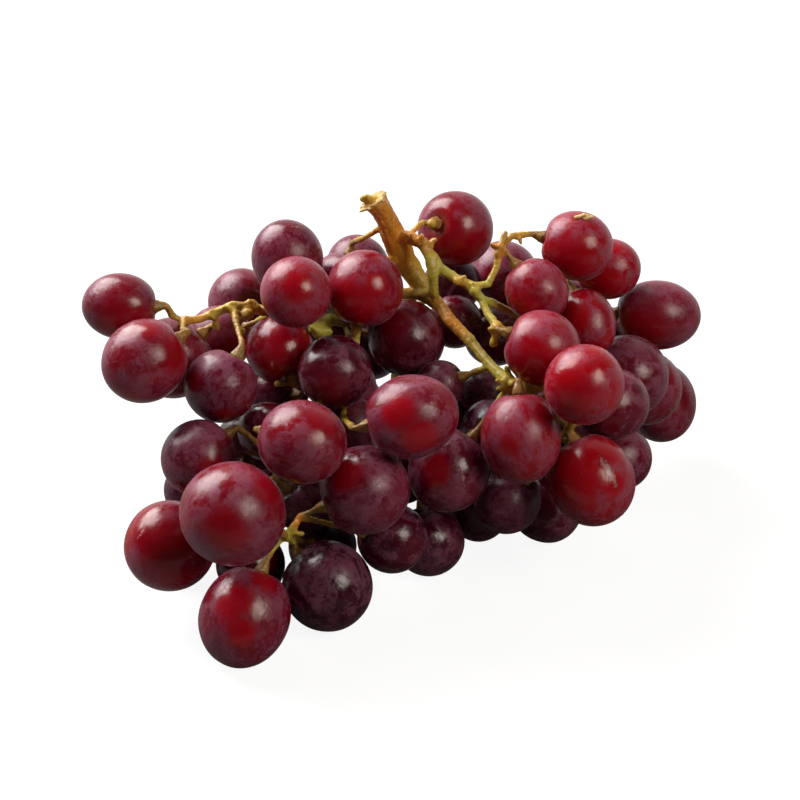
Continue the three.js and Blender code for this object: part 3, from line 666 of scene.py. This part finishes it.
stalk_ends = []
for node in sorted(frame["nodes"]):
    if node == "stem":
        continue
    members = berries_of(node)
    ripe, bloom, patches = LOOKS.get(node, HIDDEN_LOOK)
    spread = OWN_SPREAD if node in LOOKS else HIDDEN_SPREAD
    points = bpy.data.meshes.new(node + "_skin")
    points.from_pydata([tuple(m[0]) for m in members], [], [])
    write_field(points, "axis", "FLOAT_VECTOR", [m[1] for m in members])
    write_field(points, "size", "FLOAT_VECTOR", [(m[3] / 2, m[3] / 2, m[2] / 2) for m in members])
    write_field(points, "berry_seed", "FLOAT", draws.uniform(0, SEED_RANGE, len(members)))
    write_field(points, "ripe", "FLOAT", ripe + draws.uniform(-spread, spread, len(members)))
    write_field(points, "bloom", "FLOAT", bloom + draws.uniform(-spread, spread, len(members)))
    piece = bpy.data.objects.new(node + "_skin", points)
    scene.collection.objects.link(piece)
    grown(piece, berry_tree, {"Skin": skins[slot_of[node]]})
    places = places_of(piece)
    centre, width = Vector(members[0][0]), members[0][3]
    write_field(piece.data, "bare", "FLOAT", patch_field(places, centre, width, patches))
    fields = scuff_fields(piece, centre, SCUFFS[node]) if node in SCUFFS else NO_SCUFF
    for name, value in zip(("scuff_at", "scuff_way", "scuff_size"), fields):
        write_field(piece.data, name, "FLOAT_VECTOR", [value] * len(places))
    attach(piece, "root")
    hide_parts(node)
    stalk_ends += [m[0] + m[1] * m[2] / 2 for m in members]

# The stem: one woody stalk, torn off at its top, that branches into green side stalks and short
# warty stalks that carry the berries. It is grown in one piece, so it is one piece here too: the
# solid with its swollen nodes and spurs, melted together, rounded, and roughened by its bark.
VOXEL = 0.00041
ROUNDING = 0.5
ROUNDING_STEPS = 4
KNOB_SPLITS = 2
SPUR_SIDES = 8
# Swollen nodes: across, up, behind and radius in millimetres.
KNOBS = [
    (-1.6, 35.2, 10.4, 1.7), (-6.4, 48.6, -0.6, 1.5), (4.2, 39.9, 2.4, 0.95), (6.2, 39.4, 2, 1.05),
    (7.7, 38.6, 2.2, 0.95), (8.2, 40, 3, 0.7), (14.4, 29.8, 1.2, 1.0), (15.6, 30.3, 1.5, 0.7),
    (18.8, 27.2, 0.2, 1.5), (25, 38.1, 1.4, 1.35), (24.3, 36.6, 1.2, 0.95), (24.2, 18.4, -4.6, 1.6),
    (23.3, 17.4, -4.8, 0.9), (23.6, 14.2, -3.2, 1.1), (27, 5.2, -8.6, 1.6), (29.2, 4, -9.6, 1.6),
    (31.6, 4.4, -9.6, 1.2), (33.8, 2.8, -9.4, 1.3), (26, 3.1, -9, 1.0), (36.4, 0.2, -8.6, 1.1),
    (8, 44.1, 8, 1.3), (-19.8, 17.2, 2.6, 2.3), (-21.4, 18, 2.6, 1.6), (-12.4, 16.4, 4.4, 1.5),
    (-38.2, 21.3, 1, 1.5), (-41.4, 21.7, 0.2, 1.35), (-36, 22.9, 3.6, 1.4), (-36.8, 24, 3.6, 1.2),
    (-43.6, 22.4, 0.4, 0.8), (-46.6, 20.9, 0, 1.0), (-53.6, 19.8, -2.2, 1.5),
    (-45.8, 18.2, 1.6, 1.0), (-40.4, 19.4, -1, 1.2), (-39.6, 17.2, -3.6, 1.0), (27.8, 40.9, 5, 0.9),
    (26.2, 40.2, 3.6, 0.9), (-28.6, -34, -16.4, 1.4),
]
# Short spurs where a berry or a small leaf has come off: root, tip, and the radius at each.
SPURS = [
    ((-6.4, 49.2, -0.6), (-9.8, 50.7, -1.4), 1.7, 0.7),
    ((-6.4, 49.4, -1.6), (-9, 51.2, -2.6), 1.4, 0.6), ((-6, 49, 0.4), (-9.2, 49.9, 0.4), 1.4, 0.6),
    ((-5.4, 50.4, -1), (-3.4, 51.4, -0.6), 1, 0.5), ((7.4, 38.8, 2), (9.2, 40.4, 2), 0.7, 0.5),
    ((5.2, 39.6, 1.6), (5.6, 41.4, 1), 0.6, 0.45), ((3.4, 40, 2), (2.6, 41.6, 1.6), 0.6, 0.45),
    ((15, 30, 1), (16.6, 31.2, 0.6), 0.6, 0.45), ((18.6, 27.6, 0), (18.2, 29.6, -0.4), 0.6, 0.45),
    ((25, 38.2, 1), (22.4, 39, 0.6), 0.8, 0.5), ((25.6, 39.6, 2), (26.4, 42.2, 2.6), 0.8, 0.7),
    ((30, 40.6, 5.6), (30.2, 38.8, 5.2), 0.6, 0.5), ((24.4, 18, -5), (22, 17.6, -5.6), 0.6, 0.45),
    ((25, 18.4, -5), (27, 17.2, -5.4), 0.9, 0.6), ((26.4, 4.6, -9.2), (23.8, 4.8, -10.6), 0.7, 0.5),
    ((26, 3.6, -9.4), (24, 2.6, -10.4), 0.7, 0.45), ((27.4, 6, -9), (26.4, 8.4, -9.8), 0.6, 0.45),
    ((30.6, 4.8, -10), (30.4, 7, -10.6), 0.8, 0.5), ((33, 3.6, -9.6), (35.2, 5.2, -10), 0.9, 0.8),
    ((34.4, 2.4, -9.6), (36.6, 3.8, -9.8), 0.9, 0.7), ((31, 3.4, -10.4), (30.8, 1.2, -12), 1, 0.9),
    ((-20, 16.6, 1.6), (-22.4, 18.8, 0), 1.1, 0.8), ((-19.4, 16, 1.4), (-17, 17.4, 0.4), 1.1, 0.8),
    ((-12.4, 16.2, 4), (-11.2, 18, 3), 0.9, 0.7), ((-41, 22, 0), (-44.4, 23.4, -0.8), 0.7, 0.5),
    ((-47, 21, -0.2), (-47.2, 22.6, -0.6), 0.6, 0.5),
    ((-36.6, 23.6, 3), (-38, 25.2, 2.4), 0.8, 0.6),
    ((-54, 20, -2.4), (-55.4, 18.4, -3.6), 0.6, 0.5),
    ((-27.8, -33.6, -17), (-25.6, -30.4, -18), 0.8, 0.7),
    ((-27.4, -33, -17), (-24.2, -33.6, -18), 0.7, 0.5),
]


def seen_at(across, up, behind):
    """The point seen so many millimetres across and up, that lies so many behind the middle."""
    spread = (EYE_DISTANCE + behind / 1000) / EYE_DISTANCE / 1000
    return (BUNCH_MIDDLE + SEEN_RIGHT * across * spread + SEEN_UP * up * spread
            + SIGHT * behind / 1000)


stem = bpy.data.objects.new("stem_wood", frame["nodes"]["stem"].data.copy())
scene.collection.objects.link(stem)
shell = bmesh.new()
shell.from_mesh(stem.data)
bmesh.ops.remove_doubles(shell, verts=shell.verts, dist=1e-6)
for across, up, behind, radius in KNOBS:
    bmesh.ops.create_icosphere(shell, subdivisions=KNOB_SPLITS, radius=radius / 1000,
                               matrix=Matrix.Translation(seen_at(across, up, behind)))
for root, tip, root_radius, tip_radius in SPURS:
    start, end = seen_at(*root), seen_at(*tip)
    turn = (end - start).to_track_quat("Z", "Y").to_matrix().to_4x4()
    bmesh.ops.create_cone(shell, cap_ends=True, segments=SPUR_SIDES, radius1=root_radius / 1000,
                          radius2=tip_radius / 1000, depth=(end - start).length,
                          matrix=Matrix.Translation((start + end) / 2) @ turn)
shell.to_mesh(stem.data)
shell.free()
melted = stem.modifiers.new("melted", "REMESH")
melted.mode = "VOXEL"
melted.voxel_size = VOXEL
rounded = stem.modifiers.new("rounded", "SMOOTH")
rounded.factor = ROUNDING
rounded.iterations = ROUNDING_STEPS

# The bark: low knobs with small round warts on them, green where it is young, ochre and brown where
# it is woody, and brown where a stalk goes into its berry. On the front branch, which lies in
# shade, the brown is painted shade.
KNOB_NOISE = (260.0, 2.0)
KNOB_RANGE = (0.45, 0.75, -0.2, 1.0)
WART_SCALE = 1100.0
WART_RANGE = (0.0, 0.6, 1.0, 0.0)
STREAK_NOISE = (180.0, 4.0)
FLECK_NOISE = (1300.0, 2.0)
BARK_GREEN = (0.42, 0.4, 0.05, 1)
BARK_OCHRE = (0.72, 0.29, 0.025, 1)
BARK_BROWN_AND_SHADE = (0.15, 0.055, 0.015, 1)
BROWN_SHARE = 0.8
BARK_RELIEF = (0.6, 0.0003)
BARK_SURFACE = {
    "Roughness": 0.42, "Subsurface Weight": 0.1, "Subsurface Radius": (1, 0.6, 0.2),
    "Subsurface Scale": 0.0008,
}
# Where the stem is ochre and where it is brown, as across, up and behind in millimetres from the
# middle of the picture, then ochre, brown and how far that reaches. The brown is the bark's own,
# except in the last three rows, where it is painted shade.
STEM_TONES = [
    (-6.6, 51, -3, 0.45, 0.1, 3), (-5, 48, -2, 0.9, 0.35, 3), (-3.4, 45, -0.5, 1, 0.4, 4),
    (-1, 40, 2, 1, 0.3, 4), (0.8, 35, 4.5, 1, 0.1, 4), (3.4, 30, 7, 0.5, 0.15, 4),
    (6.2, 25, 10, 0.4, 0.25, 4), (9.4, 21.8, 11, 0.8, 0.3, 3), (12, 19.8, 10, 1, 0, 3),
    (15, 17.5, 8, 0.8, 0, 3), (20, 12, 3, 0.4, 0, 4), (25, 7, -4, 0.2, 0.05, 4),
    (28, 4.4, -8, 0.2, 0.1, 3), (32, 3, -9, 0.25, 0.2, 3), (36, -0.5, -7, 0.5, 0.6, 2.5),
    (0, 39.6, 2, 0.9, 0.2, 2), (6.8, 38.2, 3, 0.9, 0.5, 2.5), (9, 34, 3, 0.15, 0.1, 3),
    (12.5, 31.2, 3, 0.1, 0.05, 3), (15.5, 29.7, 2, 0.7, 0.35, 2), (18.8, 27.4, 1, 0.1, 0.05, 3),
    (22, 28.8, 2, 0.15, 0.1, 3), (23.8, 32, 2, 0.3, 0.1, 3), (25, 38, 2, 0.95, 0.4, 3),
    (26, 41.4, 4, 0.6, 0.6, 3), (30, 40.8, 6, 0.5, 0.3, 3), (22.5, 20.5, -2, 0.2, 0.1, 3),
    (24.2, 18.4, -4, 0.6, 0.25, 2), (8, 34, 2, 0.1, 0.05, 3), (8.3, 29, 4, 0.1, 0.05, 3),
    (-18.8, 18, 3, 0.15, 0.0, 4), (-28, 19, 10, 0.1, 0.1, 4), (-32, 20, 6, 0.15, 0.1, 4),
    (-35.8, 22, 4, 0.8, 0.2, 2.5), (-38, 21.5, 2, 0.5, 0.3, 2.5), (-44, 21.6, 1, 0.4, 0.05, 3),
    (-50, 19.6, 0, 0.8, 0.05, 3), (-54.2, 19.5, -2, 0.8, 0.5, 2.5),
    (-57.5, 21.4, -3.6, 0.3, 0.3, 2.5), (-60, 23, -3, 0.3, 0.6, 2.5), (-46, 18, 1, 0.3, 0.3, 3),
    (-40.6, 18, -4, 0.5, 0.7, 3), (-28.8, -34.2, -16, 0.1, 0.0, 3),
    # The last three rows paint shade: they make the front branch below middle_4, beside front_2,
    # fully brown where it lies in shade.
    (-25.6, -30.2, -18, 1, 0.1, 1.5), (-24, -28.5, -12, 0.4, 1, 4), (-20, -26.5, -8, 0.4, 1, 4),
    (-17, -30, -4, 0.4, 1, 5),
]
STEM_TONE = (0.35, 0.3)  # elsewhere, which weighs little
ELSEWHERE_WEIGHT = 0.02
STALK_END = (0.5, 1.0, 0.0021)  # ochre, brown and reach where a stalk enters its berry
STALK_END_WEIGHT = 4

tree, given, result = new_tree(
    "stem_bark", "GeometryNodeTree",
    [("Stem", "NodeSocketGeometry", None), ("Knobs", "NodeSocketFloat", 0.00035),
     ("Warts", "NodeSocketFloat", 0.00016), ("Bark", "NodeSocketMaterial", None)],
    [("Stem", "NodeSocketGeometry")])
bark_tree = tree
where = add(tree, "GeometryNodeInputPosition").outputs[0]
knobs = rescaled(tree, noise(tree, where, *KNOB_NOISE), *KNOB_RANGE)
wart_cells = add(tree, "ShaderNodeTexVoronoi", {"Vector": where, "Scale": WART_SCALE},
                 feature="SMOOTH_F1").outputs
warts = rescaled(tree, wart_cells["Distance"], *WART_RANGE)
bark_height = summed(tree, 0.0, (knobs, given["Knobs"]), (warts, given["Warts"]))
real_bark = add(tree, "GeometryNodeRealizeInstances", {0: raised(tree, given["Stem"], bark_height)})
put_out(tree, real_bark.outputs[0], given["Bark"], result)

bark, tree, shader = new_material("stem", BARK_SURFACE)
spot = add(tree, "ShaderNodeTexCoord").outputs["Object"]
streaks, flecks = noise(tree, spot, *STREAK_NOISE), noise(tree, spot, *FLECK_NOISE)
tone = calc(tree, "MULTIPLY_ADD", centred(tree, streaks), 0.9, read(tree, "tone")["Fac"],
            use_clamp=True)
# The brown is the bark's own, and on the front branch it is painted shade.
brown_and_shade = calc(tree, "MULTIPLY_ADD", centred(tree, flecks), 1.5, read(tree, "brown")["Fac"],
               use_clamp=True)
green_to_ochre = blend(tree, tone, BARK_GREEN, BARK_OCHRE)
brown_cover = calc(tree, "MULTIPLY", brown_and_shade, BROWN_SHARE)
tree.links.new(blend(tree, brown_cover, green_to_ochre, BARK_BROWN_AND_SHADE), shader.inputs["Base Color"])
add_relief(tree, shader, flecks, *BARK_RELIEF)

grown(stem, bark_tree, {"Bark": bark})
places = places_of(stem)
weights = np.full(len(places), ELSEWHERE_WEIGHT)
tones, brown_and_shade_sums = weights * STEM_TONE[0], weights * STEM_TONE[1]
spots = [(seen_at(across, up, behind), tone_here, brown_and_shade_here, reach / 1000, 1)
         for across, up, behind, tone_here, brown_and_shade_here, reach in STEM_TONES]
spots += [(point, *STALK_END, STALK_END_WEIGHT) for point in stalk_ends]
for middle, tone_here, brown_and_shade_here, reach, pull in spots:
    off_middle = np.linalg.norm(places - np.array(middle), axis=1)
    weight = pull * np.exp(-((off_middle / reach) ** 2))
    weights += weight
    tones += weight * tone_here
    brown_and_shade_sums += weight * brown_and_shade_here
write_field(stem.data, "tone", "FLOAT", tones / weights)
write_field(stem.data, "brown", "FLOAT", brown_and_shade_sums / weights)
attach(stem, "root")
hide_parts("stem")

# The torn end of the stalk: it was pulled off the vine, and dry pale fibres stand out round the
# break, longest on its left. A tuft of tapered fibres, each rooted in the wood.
STRAW_PALE = (0.74, 0.56, 0.25, 1)
STRAW_DARK = (0.5, 0.3, 0.08, 1)
STRAW_NOISE = (900.0, 3.0)
STRAW_STEP = (0.4, 0.62)
STRAW_RELIEF = (0.4, 0.0002)
FIBRE_SHAPE = {"Vertices": 6, "Side Segments": 4, "Radius Top": 0.3, "Radius Bottom": 1.0,
               "Depth": 1.0}
SWAY_NOISE = {"Scale": 420.0, "Detail": 1.0}
FIBRES = 46
FIBRE_STRAYS = 0.4  # of the step from one fibre to the next
FIBRE_RING = (0.0022, 0.0028)
FIBRE_RISE = (0.2, 0.6)
FIBRE_SPLAY = 0.6
FIBRE_SPLAY_LEFT = 1.2
FIBRE_WIDTH = (0.0004, 0.0007)
FIBRE_THICKNESS = (0.0003, 0.0006)
FIBRE_LENGTH = (0.0007, 0.0012)

straw, tree, shader = new_material("dry_straw", {"Roughness": 0.7})
spot = add(tree, "ShaderNodeTexCoord").outputs["Object"]
weathered = noise(tree, spot, *STRAW_NOISE)
tree.links.new(blend(tree, step_up(tree, weathered, *STRAW_STEP), STRAW_PALE, STRAW_DARK),
               shader.inputs["Base Color"])
add_relief(tree, shader, weathered, *STRAW_RELIEF)

tree, given, result = new_tree(
    "tuft_of_fibres", "GeometryNodeTree",
    [("Roots", "NodeSocketGeometry", None), ("Bend", "NodeSocketFloat", 0.0006),
     ("Straw", "NodeSocketMaterial", None)], [("Tuft", "NodeSocketGeometry")])
tuft_tree = tree
spike = add(tree, "GeometryNodeMeshCone", FIBRE_SHAPE)
fibres = set_on_points(tree, given["Roots"], spike.outputs["Mesh"], "way")
here = add(tree, "GeometryNodeInputPosition").outputs[0]
sway = add(tree, "ShaderNodeTexNoise", {"Vector": here, **SWAY_NOISE}).outputs["Color"]
sway_centred = add(tree, "ShaderNodeVectorMath", {0: sway, 1: (0.5, 0.5, 0.5)},
                   operation="SUBTRACT").outputs[0]
sway_way = add(tree, "ShaderNodeVectorMath", {0: sway_centred, "Scale": given["Bend"]},
               operation="SCALE")
bent = add(tree, "GeometryNodeSetPosition", {"Geometry": fibres, "Offset": sway_way.outputs[0]})
put_out(tree, bent.outputs[0], given["Straw"], result)


def tuft(name, fibres):
    """A piece of pale fibres. Each is its root, the way it points, and its size in metres."""
    roots, ways, sizes = zip(*fibres)
    points = bpy.data.meshes.new(name)
    points.from_pydata([tuple(root) for root in roots], [], [])
    write_field(points, "way", "FLOAT_VECTOR", [tuple(way) for way in ways])
    write_field(points, "size", "FLOAT_VECTOR", sizes)
    piece = bpy.data.objects.new(name, points)
    scene.collection.objects.link(piece)
    grown(piece, tuft_tree, {"Straw": straw})
    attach(piece, "root")


break_middle = seen_at(-6.2, 49.7, -0.8)
break_way = (seen_at(-6.6, 50.2, -1) - seen_at(-5.2, 48.4, 0)).normalized()
break_right = break_way.cross(SIGHT).normalized()
break_back = break_right.cross(break_way)
torn_fibres = []
for k in range(FIBRES):
    turn = 2 * math.pi * (k + draws.uniform(-FIBRE_STRAYS, FIBRE_STRAYS)) / FIBRES
    out = break_right * math.cos(turn) + break_back * math.sin(turn)
    leftness = max(0.0, -out.x)
    root = break_middle + out * draws.uniform(*FIBRE_RING)
    rise = break_way * draws.uniform(*FIBRE_RISE)
    way = (rise + out * (FIBRE_SPLAY + FIBRE_SPLAY_LEFT * leftness)).normalized()
    size = (draws.uniform(*FIBRE_WIDTH), draws.uniform(*FIBRE_THICKNESS),
            draws.uniform(*FIBRE_LENGTH) * (1 + leftness))
    torn_fibres.append((root, way, size))
tuft("torn_end", torn_fibres)

# The dried bit of a flower that lies on one berry: three short flat-lying fibres of the same straw.
BIT_BERRY = "right_6"
BIT_FIBRES = [  # across and up from the berry's middle in its radii, turn in degrees, length
    (-0.12, 0.74, 8, 0.0032), (0.14, 0.72, 22, 0.0028), (0.1, 0.82, -12, 0.0026),
]
BIT_THICKNESS = 0.00055
BIT_LIFT = 0.0001
BIT_RISE = 0.15

bit_centre, _, _, bit_berry_width = berries_of(BIT_BERRY)[0]
bit_fibres = []
for across_by, up_by, turn, length in BIT_FIBRES:
    toward_eye = math.sqrt(1 - across_by ** 2 - up_by ** 2)
    spot_way = SEEN_RIGHT * across_by + SEEN_UP * up_by - SIGHT * toward_eye
    run = SEEN_RIGHT * math.cos(math.radians(turn)) + SEEN_UP * math.sin(math.radians(turn))
    run = (run - spot_way * run.dot(spot_way)).normalized()
    root = Vector(bit_centre) + spot_way * (bit_berry_width / 2 + BIT_LIFT)
    bit_fibres.append((root, run + spot_way * BIT_RISE, (BIT_THICKNESS, BIT_THICKNESS, length)))
tuft("dried_bit", bit_fibres)
